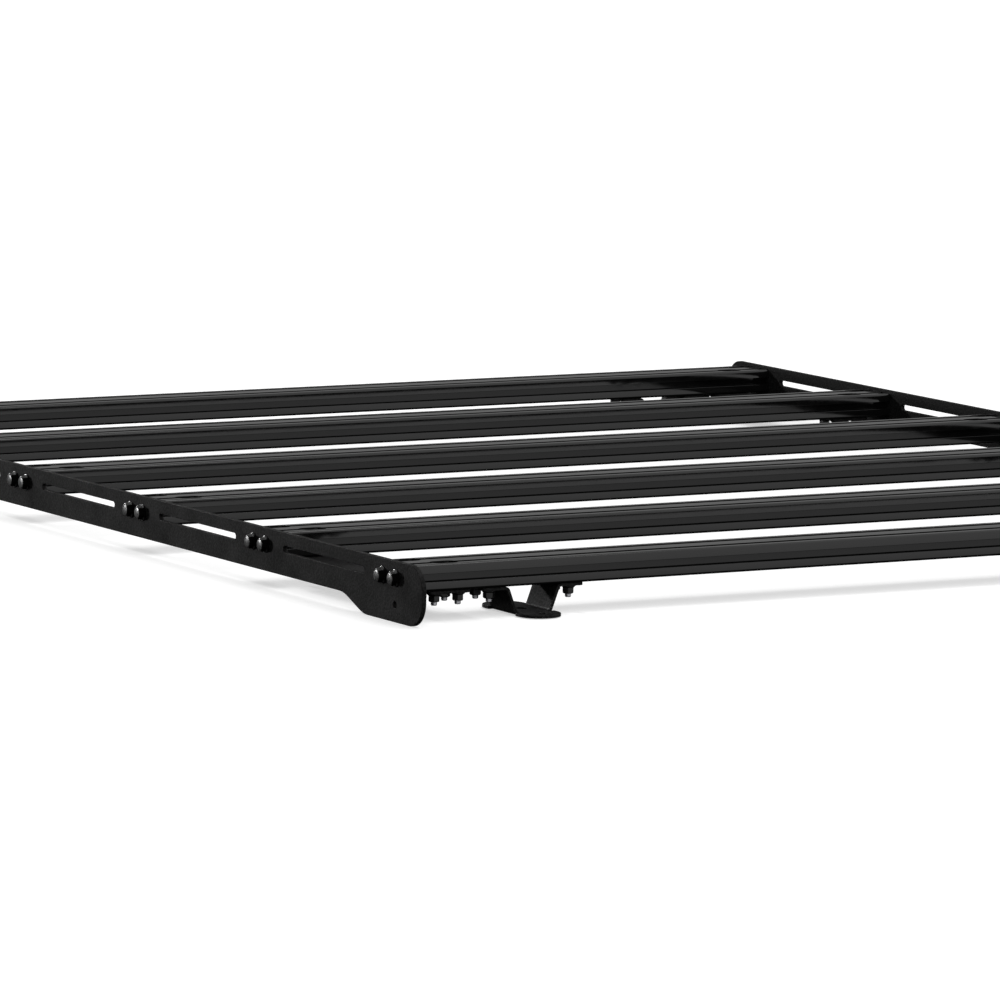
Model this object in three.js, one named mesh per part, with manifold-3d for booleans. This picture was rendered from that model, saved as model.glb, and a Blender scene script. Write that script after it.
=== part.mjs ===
// Flat roof cargo rack: six T-slotted crossbars bolted between two cut-out side plates, on four
// hat-shaped feet, with strap plates that tie the end bars together in pairs.
// Millimetres. +X runs along the crossbars, +Y from the front bar to the rear bar, +Z up.
// The origin is at the middle of the rack, level with the lowest edge of the side plates.
import * as THREE from "three";
import { mergeVertices } from "three/addons/utils/BufferGeometryUtils.js";
import Module from "manifold-3d";

const wasm = await Module();
wasm.setup();

// Driving dimensions
const INCH = 25.4;
const BAR_COUNT = 6;
const BAR_PITCH = 10 * INCH;
const BAR_WIDTH = 2 * INCH;
const BAR_HEIGHT = INCH;
const RACK_WIDTH = 1197.8;
const CLEARANCE = 0.3;
const ARC_STEPS = 4;
const ROUND_SEGMENTS = 8;
// Share of the half width that the arcs of a full-round end take
const SLOT_END_SHARE = 0.999;
const FOOT_END_SHARE = 0.98;

// Side plates
const PLATE_THICKNESS = 4.8;
const PLATE_OVERHANG = 62.5;
const PLATE_ABOVE_BAR = 3.2;
const PLATE_BODY_HEIGHT = 41.4;
const LOBE_DROP = 15.9;
const PLATE_CORNER_RADIUS = 24;
const LOBE_FLAT_INSET = 48.5;
const LOBE_RAMP_LENGTH = 39.2;
const LOBE_BLEND_RADIUS = 45;
const TIE_SLOT_LENGTH = 158.4;
const TIE_SLOT_HEIGHT = 6.4;
const LOBE_HOLE_RADIUS = 3.4;
const LOBE_HOLE_INSET = 11.8;
const LOBE_HOLE_DEPTH = 37.7;

// Crossbar section
const BAR_CORNER_RADIUS = 2.5;
const CELL = INCH;
const TOP_SLOT = { opening: 8, lip: 2.2, cavity: 14.6, depth: 6.4 };
const SIDE_SLOT = { opening: 7.8, lip: 2, cavity: 11.2, depth: 6.2 };
const SCREW_BORE_RADIUS = 4.35;
const CHAMBER_WAIST = 6.4;
const CHAMBER_WAIST_HEIGHT = 3.2;
const CHAMBER_NECK = 3.5;
const CHAMBER_NECK_HEIGHT = 4.2;
const CHAMBER_HEIGHT = 10.2;
const DROP_IN_LENGTH = 28;
const DROP_IN_WIDTH = 16;
const DROP_IN_INSET_REAR = 1 * INCH;
const DROP_IN_INSET_FRONT = 2 * INCH;

// Flange bolts through the side plates
const END_BOLT_SHANK_RADIUS = 4;
const END_BOLT_REACH = 22;
const END_BOLT_FLANGE_RADIUS = 8.3;
const END_BOLT_FLANGE_THICKNESS = 1.5;
const END_BOLT_HEAD_RADIUS = 6.2;
const END_BOLT_HEAD_HEIGHT = 6.8;
const BOLT_HOLE_RADIUS = 4.5;

// T-bolts with flange nuts, in the lower T-slots
const STUD_RADIUS = 3;
const SHAFT_SIDES = 6;
const T_HEAD_WIDTH = 12.4;
const T_HEAD_LENGTH = 11;
const T_HEAD_THICKNESS = 3;
const NUT_ACROSS_FLATS = 10;
const NUT_HEIGHT = 8;
const NUT_FLANGE_RADIUS = 7.2;
const NUT_FLANGE_THICKNESS = 1.4;
const STUD_BEYOND_NUT = 3.4;
const STUD_HOLE_RADIUS = 3.5;

// Bent-sheet feet
const SHEET_THICKNESS = 3;
const SHEET_WIDTH = 44.5;
const FOOT_INSET = 142.8;
const FOOT_HEIGHT = 27.6;
const FOOT_FLANGE_END = 54.2;
const FOOT_STUD_OFFSET = 42.9;
const FOOT_LEG_HALF_WIDTH = 19.4;
const FOOT_LEG_TILT = THREE.MathUtils.degToRad(20.6);
const BEND_INSIDE_RADIUS = 2.5;
const FOOT_BASE_LENGTH = 104;
const FOOT_BASE_HALF_WIDTH = 21.5;
const FOOT_BASE_NECK_HALF_WIDTH = 15.5;
const FOOT_RELIEF = 2.5;
const FOOT_CENTRE_HOLE_RADIUS = 5.2;
const FOOT_END_HOLE_RADIUS = 3.4;
const FOOT_END_HOLE_OFFSET = 38;

// Strap plates
const STRAP_INSET = 53.7;
const STRAP_CORNER_RADIUS = 4;

// Levels and places worked out from the dimensions above
const BAR_TOP = LOBE_DROP + PLATE_BODY_HEIGHT - PLATE_ABOVE_BAR;
const BAR_BOTTOM = BAR_TOP - BAR_HEIGHT;
const BAR_MIDDLE = BAR_TOP - BAR_HEIGHT / 2;
const PLATE_TOP = BAR_TOP + PLATE_ABOVE_BAR;
const PLATE_BODY_BOTTOM = LOBE_DROP;
const HALF_WIDTH = RACK_WIDTH / 2;
const BAR_HALF_LENGTH = HALF_WIDTH - PLATE_THICKNESS - CLEARANCE;
const FIRST_BAR_Y = (-(BAR_COUNT - 1) / 2) * BAR_PITCH;
const PLATE_HALF_LENGTH = -FIRST_BAR_Y + PLATE_OVERHANG;
const SHEET_TOP = BAR_BOTTOM - CLEARANCE;
const STUD_ROWS = [-CELL / 2, CELL / 2];

const AXIS_X = new THREE.Vector3(1, 0, 0);
const AXIS_Y = new THREE.Vector3(0, 1, 0);
const AXIS_Z = new THREE.Vector3(0, 0, 1);

const MATERIALS = {
  plate: { color: 0x1c1c1d, roughness: 0.62, metalness: 0.1 },
  extrusion: { color: 0x232324, roughness: 0.42, metalness: 0.35 },
  bracket: { color: 0x1a1a1b, roughness: 0.55, metalness: 0.1 },
  fastener: { color: 0x101011, roughness: 0.25, metalness: 0.8 },
};

function barY(index) {
  return FIRST_BAR_Y + index * BAR_PITCH;
}

// A closed outline whose corners are rounded by arcs. Each corner is [x, y] or [x, y, radius].
function roundedPoints(corners) {
  const points = [];
  corners.forEach(([x, y, radius], index) => {
    const corner = new THREE.Vector2(x, y);
    if (!radius) {
      points.push(corner);
      return;
    }
    const before = corners[(index + corners.length - 1) % corners.length];
    const after = corners[(index + 1) % corners.length];
    const toBefore = new THREE.Vector2(before[0] - x, before[1] - y).normalize();
    const toAfter = new THREE.Vector2(after[0] - x, after[1] - y).normalize();
    const halfAngle = Math.acos(THREE.MathUtils.clamp(toBefore.dot(toAfter), -1, 1)) / 2;
    const reach = radius / Math.tan(halfAngle);
    const bisector = toBefore.clone().add(toAfter).normalize();
    const centre = corner.clone().addScaledVector(bisector, radius / Math.sin(halfAngle));
    const start = corner.clone().addScaledVector(toBefore, reach).sub(centre);
    const end = corner.clone().addScaledVector(toAfter, reach).sub(centre);
    const startAngle = start.angle();
    let sweep = end.angle() - startAngle;
    sweep -= 2 * Math.PI * Math.round(sweep / (2 * Math.PI));
    for (let step = 0; step <= ARC_STEPS; step += 1) {
      const angle = startAngle + (sweep * step) / ARC_STEPS;
      points.push(new THREE.Vector2(Math.cos(angle), Math.sin(angle)).multiplyScalar(radius).add(centre));
    }
  });
  return points;
}

function circleHole(x, y, radius) {
  const points = [];
  for (let step = 0; step < ROUND_SEGMENTS; step += 1) {
    const angle = (2 * Math.PI * step) / ROUND_SEGMENTS;
    points.push(new THREE.Vector2(x + radius * Math.cos(angle), y + radius * Math.sin(angle)));
  }
  return new THREE.Path(points);
}

// A round-ended slot that runs along the shape's x direction.
function slotPoints(x, y, length, width) {
  const half = length / 2;
  const reach = width / 2;
  const radius = reach * SLOT_END_SHARE;
  return roundedPoints([
    [x - half, y - reach, radius],
    [x + half, y - reach, radius],
    [x + half, y + reach, radius],
    [x - half, y + reach, radius],
  ]);
}

// Extrudes a shape by the given depth, centred on its plane.
function extrude(shape, depth) {
  const geometry = new THREE.ExtrudeGeometry(shape, { depth, bevelEnabled: false });
  return geometry.translate(0, 0, -depth / 2);
}

// Shape x becomes world Y, shape y becomes world Z, and the depth runs along X.
function standAcrossX(geometry) {
  return geometry.applyMatrix4(new THREE.Matrix4().makeBasis(AXIS_Y, AXIS_Z, AXIS_X));
}

// Shape x stays world X, shape y becomes world Z, and the depth runs along -Y.
function standAcrossY(geometry) {
  const backwards = AXIS_Y.clone().negate();
  return geometry.applyMatrix4(new THREE.Matrix4().makeBasis(AXIS_X, AXIS_Z, backwards));
}

function toSolid(geometry) {
  const bare = geometry.clone();
  bare.deleteAttribute("normal");
  bare.deleteAttribute("uv");
  const merged = mergeVertices(bare, 1e-4);
  return new wasm.Manifold(
    new wasm.Mesh({
      numProp: 3,
      vertProperties: new Float32Array(merged.attributes.position.array),
      triVerts: new Uint32Array(merged.index.array),
    }),
  );
}

function toGeometry(solid) {
  const mesh = solid.getMesh();
  const geometry = new THREE.BufferGeometry();
  geometry.setAttribute("position", new THREE.BufferAttribute(new Float32Array(mesh.vertProperties), 3));
  geometry.setIndex(new THREE.BufferAttribute(new Uint32Array(mesh.triVerts), 1));
  geometry.computeVertexNormals();
  return geometry;
}

function join(geometries) {
  return toGeometry(geometries.map(toSolid).reduce((whole, piece) => whole.add(piece)));
}

function cut(geometry, cutters) {
  const solid = cutters.map(toSolid).reduce((rest, cutter) => rest.subtract(cutter), toSolid(geometry));
  return toGeometry(solid);
}

function addPart(parent, name, geometry, look) {
  const mesh = new THREE.Mesh(geometry, new THREE.MeshStandardMaterial(MATERIALS[look]));
  mesh.name = name;
  parent.add(mesh);
  return mesh;
}

// Side plate: a long strip with a rounded lobe that drops at each end.
function sidePlateGeometry() {
  const end = PLATE_HALF_LENGTH;
  const flatEnd = -FIRST_BAR_Y - LOBE_FLAT_INSET;
  const rampEnd = flatEnd - LOBE_RAMP_LENGTH;
  const outline = roundedPoints([
    [-end, PLATE_TOP, PLATE_CORNER_RADIUS],
    [-end, 0, PLATE_CORNER_RADIUS],
    [-flatEnd, 0, LOBE_BLEND_RADIUS],
    [-rampEnd, PLATE_BODY_BOTTOM, LOBE_BLEND_RADIUS],
    [rampEnd, PLATE_BODY_BOTTOM, LOBE_BLEND_RADIUS],
    [flatEnd, 0, LOBE_BLEND_RADIUS],
    [end, 0, PLATE_CORNER_RADIUS],
    [end, PLATE_TOP, PLATE_CORNER_RADIUS],
  ]);
  const shape = new THREE.Shape(outline);
  for (let bay = 0; bay < BAR_COUNT - 1; bay += 1) {
    const middle = (barY(bay) + barY(bay + 1)) / 2;
    shape.holes.push(new THREE.Path(slotPoints(middle, BAR_MIDDLE, TIE_SLOT_LENGTH, TIE_SLOT_HEIGHT)));
  }
  for (let bar = 0; bar < BAR_COUNT; bar += 1) {
    for (const row of STUD_ROWS) {
      shape.holes.push(circleHole(barY(bar) + row, BAR_MIDDLE, BOLT_HOLE_RADIUS));
    }
  }
  for (const side of [-1, 1]) {
    const holeY = side * (-FIRST_BAR_Y + LOBE_HOLE_INSET);
    shape.holes.push(circleHole(holeY, BAR_TOP - LOBE_HOLE_DEPTH, LOBE_HOLE_RADIUS));
  }
  return standAcrossX(extrude(shape, PLATE_THICKNESS));
}

// T-slot outline, from one lip to the other. It is drawn along +s with depth +d below the face.
function slotOutline({ opening, lip, cavity, depth }) {
  const mouth = opening / 2;
  const wing = cavity / 2;
  return [
    [-mouth, 0],
    [-mouth, lip],
    [-wing, lip],
    [-wing, depth],
    [wing, depth],
    [wing, lip],
    [mouth, lip],
    [mouth, 0],
  ];
}

// Section of the crossbar, with its middle at the shape's origin.
function crossbarShape() {
  const halfWidth = BAR_WIDTH / 2;
  const halfHeight = BAR_HEIGHT / 2;
  const corners = [];
  corners.push([-halfWidth, -halfHeight, BAR_CORNER_RADIUS]);
  for (const middle of STUD_ROWS) {
    slotOutline(TOP_SLOT).forEach(([s, d]) => corners.push([middle + s, -halfHeight + d]));
  }
  corners.push([halfWidth, -halfHeight, BAR_CORNER_RADIUS]);
  slotOutline(SIDE_SLOT).forEach(([s, d]) => corners.push([halfWidth - d, s]));
  corners.push([halfWidth, halfHeight, BAR_CORNER_RADIUS]);
  for (const middle of [...STUD_ROWS].reverse()) {
    slotOutline(TOP_SLOT).forEach(([s, d]) => corners.push([middle - s, halfHeight - d]));
  }
  corners.push([-halfWidth, halfHeight, BAR_CORNER_RADIUS]);
  slotOutline(SIDE_SLOT).forEach(([s, d]) => corners.push([-halfWidth + d, -s]));
  const shape = new THREE.Shape(roundedPoints(corners));
  for (const row of STUD_ROWS) {
    shape.holes.push(circleHole(row, 0, SCREW_BORE_RADIUS));
  }
  shape.holes.push(chamberPath());
  return shape;
}

// The hollow between the two screw bores: a cross, wide at mid height.
function chamberPath() {
  const quarter = [
    [CHAMBER_NECK, CHAMBER_HEIGHT],
    [CHAMBER_NECK, CHAMBER_NECK_HEIGHT],
    [CHAMBER_WAIST, CHAMBER_WAIST_HEIGHT],
  ];
  const points = [];
  for (const [signX, signY] of [[1, 1], [1, -1], [-1, -1], [-1, 1]]) {
    const ordered = signX * signY > 0 ? quarter : [...quarter].reverse();
    ordered.forEach(([x, y]) => points.push(new THREE.Vector2(signX * x, signY * y)));
  }
  return new THREE.Path(points);
}

// One crossbar with its drop-in cut-outs, placed at mid height on the middle of the rack.
function crossbarGeometry() {
  const bar = standAcrossX(extrude(crossbarShape(), 2 * BAR_HALF_LENGTH));
  const cutDepth = 2 * (TOP_SLOT.lip + CLEARANCE);
  const cutters = [];
  for (const side of [-1, 1]) {
    const places = [
      [side * (HALF_WIDTH - DROP_IN_INSET_FRONT), STUD_ROWS[0]],
      [side * (HALF_WIDTH - DROP_IN_INSET_REAR), STUD_ROWS[1]],
    ];
    for (const [x, y] of places) {
      const outline = new THREE.Shape(slotPoints(x, y, DROP_IN_LENGTH, DROP_IN_WIDTH));
      cutters.push(extrude(outline, cutDepth).translate(0, 0, BAR_HEIGHT / 2));
    }
  }
  return cut(bar, cutters);
}

// Flange bolt. Its axis is Z, the flange sits on z = 0 and the shank points down.
function endBoltGeometry() {
  const profile = [
    [0, -END_BOLT_REACH],
    [END_BOLT_SHANK_RADIUS, -END_BOLT_REACH],
    [END_BOLT_SHANK_RADIUS, 0],
    [END_BOLT_FLANGE_RADIUS, 0],
    [END_BOLT_FLANGE_RADIUS, END_BOLT_FLANGE_THICKNESS],
    [END_BOLT_HEAD_RADIUS, END_BOLT_FLANGE_THICKNESS],
    [END_BOLT_HEAD_RADIUS, END_BOLT_HEAD_HEIGHT],
    [0, END_BOLT_HEAD_HEIGHT],
  ].map(([radius, height]) => new THREE.Vector2(radius, height));
  return new THREE.LatheGeometry(profile, ROUND_SEGMENTS).rotateX(Math.PI / 2);
}

// T-bolt with its nut, hanging from a bar whose lower face is z = 0.
function studPieces() {
  const sheetBottom = -CLEARANCE - SHEET_THICKNESS;
  const nutTop = sheetBottom - CLEARANCE;
  const nutBottom = nutTop - NUT_HEIGHT;
  const studBottom = nutBottom - STUD_BEYOND_NUT;
  const headBottom = TOP_SLOT.lip + CLEARANCE;
  const headTop = headBottom + T_HEAD_THICKNESS;
  const shaftTop = headBottom + T_HEAD_THICKNESS / 2;
  const shaftLength = shaftTop - studBottom;
  const shaft = new THREE.CylinderGeometry(STUD_RADIUS, STUD_RADIUS, shaftLength, SHAFT_SIDES);
  const head = new THREE.BoxGeometry(T_HEAD_LENGTH, T_HEAD_WIDTH, T_HEAD_THICKNESS);
  const cornerRadius = NUT_ACROSS_FLATS / 2 / Math.cos(Math.PI / 6);
  const hex = new THREE.CylinderGeometry(cornerRadius, cornerRadius, NUT_HEIGHT, 6);
  return [
    shaft.rotateX(Math.PI / 2).translate(0, 0, (shaftTop + studBottom) / 2),
    head.translate(0, 0, (headBottom + headTop) / 2),
    hex.rotateX(Math.PI / 2).translate(0, 0, (nutTop + nutBottom) / 2),
  ];
}

// The round flange under the hexagon of a flange nut.
function nutFlange() {
  const top = -SHEET_THICKNESS - 2 * CLEARANCE;
  const radius = NUT_FLANGE_RADIUS;
  const disc = new THREE.CylinderGeometry(radius, radius, NUT_FLANGE_THICKNESS, ROUND_SEGMENTS);
  return disc.rotateX(Math.PI / 2).translate(0, 0, top - NUT_FLANGE_THICKNESS / 2);
}

// Outline of the hat section in the XZ plane. The flanges' upper face is z = 0.
function hatPoints() {
  const outsideRadius = BEND_INSIDE_RADIUS + SHEET_THICKNESS;
  const slope = Math.tan(FOOT_LEG_TILT);
  const outer = (z) => FOOT_LEG_HALF_WIDTH + (z + FOOT_HEIGHT) * slope;
  const inner = (z) => outer(z) - SHEET_THICKNESS / Math.cos(FOOT_LEG_TILT);
  const baseTop = SHEET_THICKNESS - FOOT_HEIGHT;
  const lower = [
    [FOOT_FLANGE_END, -SHEET_THICKNESS],
    [outer(-SHEET_THICKNESS), -SHEET_THICKNESS, BEND_INSIDE_RADIUS],
    [outer(-FOOT_HEIGHT), -FOOT_HEIGHT, outsideRadius],
  ];
  const upper = [
    [inner(baseTop), baseTop, BEND_INSIDE_RADIUS],
    [inner(0), 0, outsideRadius],
    [FOOT_FLANGE_END, 0],
  ];
  const mirror = (corners) => corners.map(([x, z, radius]) => [-x, z, radius]).reverse();
  return roundedPoints([...lower, ...mirror(lower), ...mirror(upper), ...upper]);
}

// Base of the foot: a strip with full-round ends and a narrower neck between the legs.
function footBaseShape() {
  const end = FOOT_BASE_LENGTH / 2;
  const wide = FOOT_BASE_HALF_WIDTH;
  const neck = FOOT_BASE_NECK_HALF_WIDTH;
  const step = SHEET_WIDTH / 2 + FOOT_RELIEF;
  const endRadius = wide * FOOT_END_SHARE;
  const shape = new THREE.Shape(roundedPoints([
    [-wide, -end, endRadius],
    [wide, -end, endRadius],
    [wide, -step],
    [neck, -step],
    [neck, step],
    [wide, step],
    [wide, end, endRadius],
    [-wide, end, endRadius],
    [-wide, step],
    [-neck, step],
    [-neck, -step],
    [-wide, -step],
  ]));
  shape.holes.push(circleHole(0, -FOOT_END_HOLE_OFFSET, FOOT_END_HOLE_RADIUS));
  shape.holes.push(circleHole(0, FOOT_END_HOLE_OFFSET, FOOT_END_HOLE_RADIUS));
  return shape;
}

function footGeometry() {
  const hat = standAcrossY(extrude(new THREE.Shape(hatPoints()), SHEET_WIDTH));
  const baseMiddle = SHEET_THICKNESS / 2 - FOOT_HEIGHT;
  const base = extrude(footBaseShape(), SHEET_THICKNESS).translate(0, 0, baseMiddle);
  const cutters = [];
  for (const x of [-FOOT_STUD_OFFSET, FOOT_STUD_OFFSET]) {
    for (const y of STUD_ROWS) {
      cutters.push(holeCutter(x, y, STUD_HOLE_RADIUS, -SHEET_THICKNESS / 2));
    }
  }
  cutters.push(holeCutter(0, 0, FOOT_CENTRE_HOLE_RADIUS, baseMiddle));
  return cut(join([hat, base]), cutters);
}

// A short upright cylinder that cuts a round hole through sheet at the given height.
function holeCutter(x, y, radius, z) {
  const cylinder = new THREE.CylinderGeometry(radius, radius, 2 * SHEET_THICKNESS, ROUND_SEGMENTS);
  return cylinder.rotateX(Math.PI / 2).translate(x, y, z);
}

// Strap plate with its eight T-bolts and nuts, from its own bar to the next bar along +Y. The
// plate and its fasteners are one body here, and each nut's flange is left out.
function strapGeometry() {
  const half = SHEET_WIDTH / 2;
  const outline = new THREE.Shape(roundedPoints([
    [-half, -half, STRAP_CORNER_RADIUS],
    [half, -half, STRAP_CORNER_RADIUS],
    [half, BAR_PITCH + half, STRAP_CORNER_RADIUS],
    [-half, BAR_PITCH + half, STRAP_CORNER_RADIUS],
  ]));
  const plate = extrude(outline, SHEET_THICKNESS).translate(0, 0, -CLEARANCE - SHEET_THICKNESS / 2);
  const pieces = [plate];
  for (const barOffset of [0, BAR_PITCH]) {
    for (const x of [-CELL / 2, CELL / 2]) {
      for (const row of STUD_ROWS) {
        studPieces().forEach((piece) => pieces.push(piece.translate(x, barOffset + row, 0)));
      }
    }
  }
  return join(pieces);
}

const rack = new THREE.Group();

const plate = sidePlateGeometry();
for (const [side, label] of [[-1, "left"], [1, "right"]]) {
  const mesh = addPart(rack, `side_plate_${label}`, plate, "plate");
  mesh.position.x = side * (HALF_WIDTH - PLATE_THICKNESS / 2);
}

const crossbar = crossbarGeometry();
for (let bar = 0; bar < BAR_COUNT; bar += 1) {
  const mesh = addPart(rack, `crossbar_${bar + 1}`, crossbar, "extrusion");
  mesh.position.set(0, barY(bar), BAR_MIDDLE);
}

const endBolt = endBoltGeometry();
for (const [side, label] of [[-1, "left"], [1, "right"]]) {
  for (let bar = 0; bar < BAR_COUNT; bar += 1) {
    STUD_ROWS.forEach((row, place) => {
      const name = `end_bolt_${label}_${bar + 1}_${place === 0 ? "front" : "rear"}`;
      const mesh = addPart(rack, name, endBolt, "fastener");
      mesh.position.set(side * (HALF_WIDTH + CLEARANCE), barY(bar) + row, BAR_MIDDLE);
      mesh.rotation.y = (side * Math.PI) / 2;
    });
  }
}

const foot = footGeometry();
const footStud = join([...studPieces(), nutFlange()]);
for (const [bar, end] of [[0, "front"], [BAR_COUNT - 1, "rear"]]) {
  for (const [side, label] of [[-1, "left"], [1, "right"]]) {
    const station = new THREE.Group();
    station.position.set(side * (HALF_WIDTH - FOOT_INSET), barY(bar), BAR_BOTTOM);
    rack.add(station);
    const mesh = addPart(station, `foot_${end}_${label}`, foot, "bracket");
    mesh.position.z = SHEET_TOP - BAR_BOTTOM;
    let count = 0;
    for (const x of [-FOOT_STUD_OFFSET, FOOT_STUD_OFFSET]) {
      for (const row of STUD_ROWS) {
        count += 1;
        const bolt = addPart(station, `foot_t_bolt_${end}_${label}_${count}`, footStud, "fastener");
        bolt.position.set(x, row, 0);
      }
    }
  }
}

const strap = strapGeometry();
for (const [bar, end] of [[0, "front"], [BAR_COUNT - 2, "rear"]]) {
  for (const [side, label] of [[-1, "left"], [1, "right"]]) {
    const mesh = addPart(rack, `strap_plate_${end}_${label}`, strap, "bracket");
    mesh.position.set(side * (HALF_WIDTH - STRAP_INSET), barY(bar), BAR_BOTTOM);
  }
}

export default rack;
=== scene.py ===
"""Roof cargo rack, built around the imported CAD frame: T-slotted crossbars, cut-out side plates,
hat-shaped feet, strap plates and their fasteners, on a pale floor in soft studio light."""

import math

import bmesh
import bpy
import numpy as np
from mathutils import Matrix, Vector
from mathutils.geometry import tessellate_polygon


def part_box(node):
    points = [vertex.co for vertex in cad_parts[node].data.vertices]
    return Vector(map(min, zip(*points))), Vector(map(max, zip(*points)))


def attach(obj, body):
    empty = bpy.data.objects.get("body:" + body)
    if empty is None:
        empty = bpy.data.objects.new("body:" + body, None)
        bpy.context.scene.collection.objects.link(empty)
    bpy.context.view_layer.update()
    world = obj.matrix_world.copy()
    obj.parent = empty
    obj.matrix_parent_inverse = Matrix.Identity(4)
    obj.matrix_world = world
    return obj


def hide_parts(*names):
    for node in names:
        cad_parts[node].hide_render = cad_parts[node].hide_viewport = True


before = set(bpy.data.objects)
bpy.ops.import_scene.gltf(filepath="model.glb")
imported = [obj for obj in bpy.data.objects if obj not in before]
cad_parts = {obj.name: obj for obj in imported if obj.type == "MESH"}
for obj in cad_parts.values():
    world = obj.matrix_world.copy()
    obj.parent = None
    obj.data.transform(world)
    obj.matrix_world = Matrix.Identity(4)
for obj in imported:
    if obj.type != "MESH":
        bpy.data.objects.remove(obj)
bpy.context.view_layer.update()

MM = 0.001
BODY = "root"
BAR_COUNT = 6
SIDES = ((-1, "left"), (1, "right"))
ROWS = ((-1, "front"), (1, "rear"))

# Places and sizes read from the CAD frame
bar_low, bar_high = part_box("crossbar_1")
last_low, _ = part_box(f"crossbar_{BAR_COUNT}")
plate_low, plate_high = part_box("side_plate_left")
BAR_WIDTH = bar_high.y - bar_low.y
BAR_HEIGHT = bar_high.z - bar_low.z
BAR_LENGTH = bar_high.x - bar_low.x
BAR_TOP, BAR_BOTTOM = bar_high.z, bar_low.z
BAR_MIDDLE = (BAR_TOP + BAR_BOTTOM) / 2
FIRST_BAR_Y = (bar_low.y + bar_high.y) / 2
BAR_PITCH = (last_low.y - bar_low.y) / (BAR_COUNT - 1)
HALF_WIDTH = -plate_low.x
PLATE_THICKNESS = plate_high.x - plate_low.x
PLATE_TOP = plate_high.z
PLATE_BOTTOM = plate_low.z
PLATE_HALF_LENGTH = plate_high.y
STUD_ROW = BAR_WIDTH / 4


def bar_y(index):
    return FIRST_BAR_Y + index * BAR_PITCH


def middle_of(node):
    """Middle of a CAD node's box, as x, y and z."""
    low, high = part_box(node)
    return [(a + b) / 2 for a, b in zip(low, high)]


# ---------------------------------------------------------------- outlines

CIRCLE_SEGMENTS = 32
SAME_POINT = 1e-7


def unit(v):
    return v / np.linalg.norm(v)


def rounded(corners, steps):
    """A closed outline. Each corner is (x, y, radius) and becomes an arc of that radius."""
    places = [np.array((x, y), float) for x, y, _ in corners]
    points = []
    for i, here in enumerate(places):
        radius = corners[i][2]
        to_before = unit(places[i - 1] - here)
        to_after = unit(places[(i + 1) % len(places)] - here)
        half = math.acos(max(-1.0, min(1.0, float(to_before @ to_after)))) / 2
        reach = radius / math.tan(half)
        centre = here + unit(to_before + to_after) * radius / math.sin(half)
        start = here + to_before * reach - centre
        end = here + to_after * reach - centre
        a = math.atan2(start[1], start[0])
        sweep = math.atan2(end[1], end[0]) - a
        sweep -= 2 * math.pi * round(sweep / (2 * math.pi))
        for k in range(steps + 1):
            t = a + sweep * k / steps
            points.append(centre + radius * np.array((math.cos(t), math.sin(t))))
    kept = [p for i, p in enumerate(points) if np.linalg.norm(p - points[i - 1]) > SAME_POINT]
    return np.array(kept)


def circle(x, y, radius):
    t = np.arange(CIRCLE_SEGMENTS) * 2 * math.pi / CIRCLE_SEGMENTS
    return np.c_[x + radius * np.cos(t), y + radius * np.sin(t)]


def rectangle(x, y, width, height, radius, steps):
    """Rectangle about (x, y) with rounded corners."""
    signs = ((-1, -1), (1, -1), (1, 1), (-1, 1))
    corners = [(x + i * width / 2, y + j * height / 2, radius) for i, j in signs]
    return rounded(corners, steps)


def round_slot(x, y, length, width, steps):
    return rectangle(x, y, length, width, width / 2, steps)


def mirrored(quarter):
    """Corners of a whole outline, from those of its quarter that has positive x and y."""
    corners = []
    for i, j in ((1, 1), (-1, 1), (-1, -1), (1, -1)):
        ordered = quarter if i * j > 0 else quarter[::-1]
        corners += [(i * x, j * y, radius) for x, y, radius in ordered]
    return corners


def signed_area(p):
    q = np.roll(p, -1, axis=0)
    return float((p[:, 0] * q[:, 1] - q[:, 0] * p[:, 1]).sum()) / 2


def inset(points, amount):
    """Moves each point of a closed loop to the left of its direction by the amount."""
    ahead = np.roll(points, -1, axis=0) - points
    ahead /= np.linalg.norm(ahead, axis=1)[:, None]
    behind = np.roll(ahead, 1, axis=0)
    both = ahead + behind
    left = np.c_[-both[:, 1], both[:, 0]]
    return points + amount * left * (2 / (left**2).sum(axis=1))[:, None]


# ---------------------------------------------------------------- meshes

SHARP_ANGLE = math.radians(38)
X_AXIS, Y_AXIS, Z_AXIS = Vector((1, 0, 0)), Vector((0, 1, 0)), Vector((0, 0, 1))


def bridge(bm, one, two):
    """Joins two rings of vertices with a band of faces."""
    for i in range(len(one)):
        j = (i + 1) % len(one)
        bm.faces.new((one[i], one[j], two[j], two[i]))


def prism(outline, holes, depth, bevel, steps=3):
    """Plate of the given outline and holes, centred on z = 0, with every edge rounded."""
    loops = [outline if signed_area(outline) > 0 else outline[::-1]]
    loops += [h if signed_area(h) < 0 else h[::-1] for h in holes]
    arc = [math.pi / 2 * i / steps for i in range(steps + 1)]
    low = [(bevel * (1 - math.sin(a)), bevel * (1 - math.cos(a)) - depth / 2) for a in arc]
    levels = low + [(amount, -z) for amount, z in reversed(low)]
    bm = bmesh.new()
    bottom, top = [], []
    for loop in loops:
        rings = []
        for amount, z in levels:
            rings.append([bm.verts.new((x, y, z)) for x, y in inset(loop, amount)])
        for below, above in zip(rings, rings[1:]):
            bridge(bm, below, above)
        bottom += rings[0]
        top += rings[-1]
    flat = [[Vector((x, y, 0)) for x, y in inset(loop, bevel)] for loop in loops]
    for a, b, c in tessellate_polygon(flat):
        bm.faces.new((top[a], top[b], top[c]))
        bm.faces.new((bottom[c], bottom[b], bottom[a]))
    bmesh.ops.recalc_face_normals(bm, faces=bm.faces)
    return bm


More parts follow.
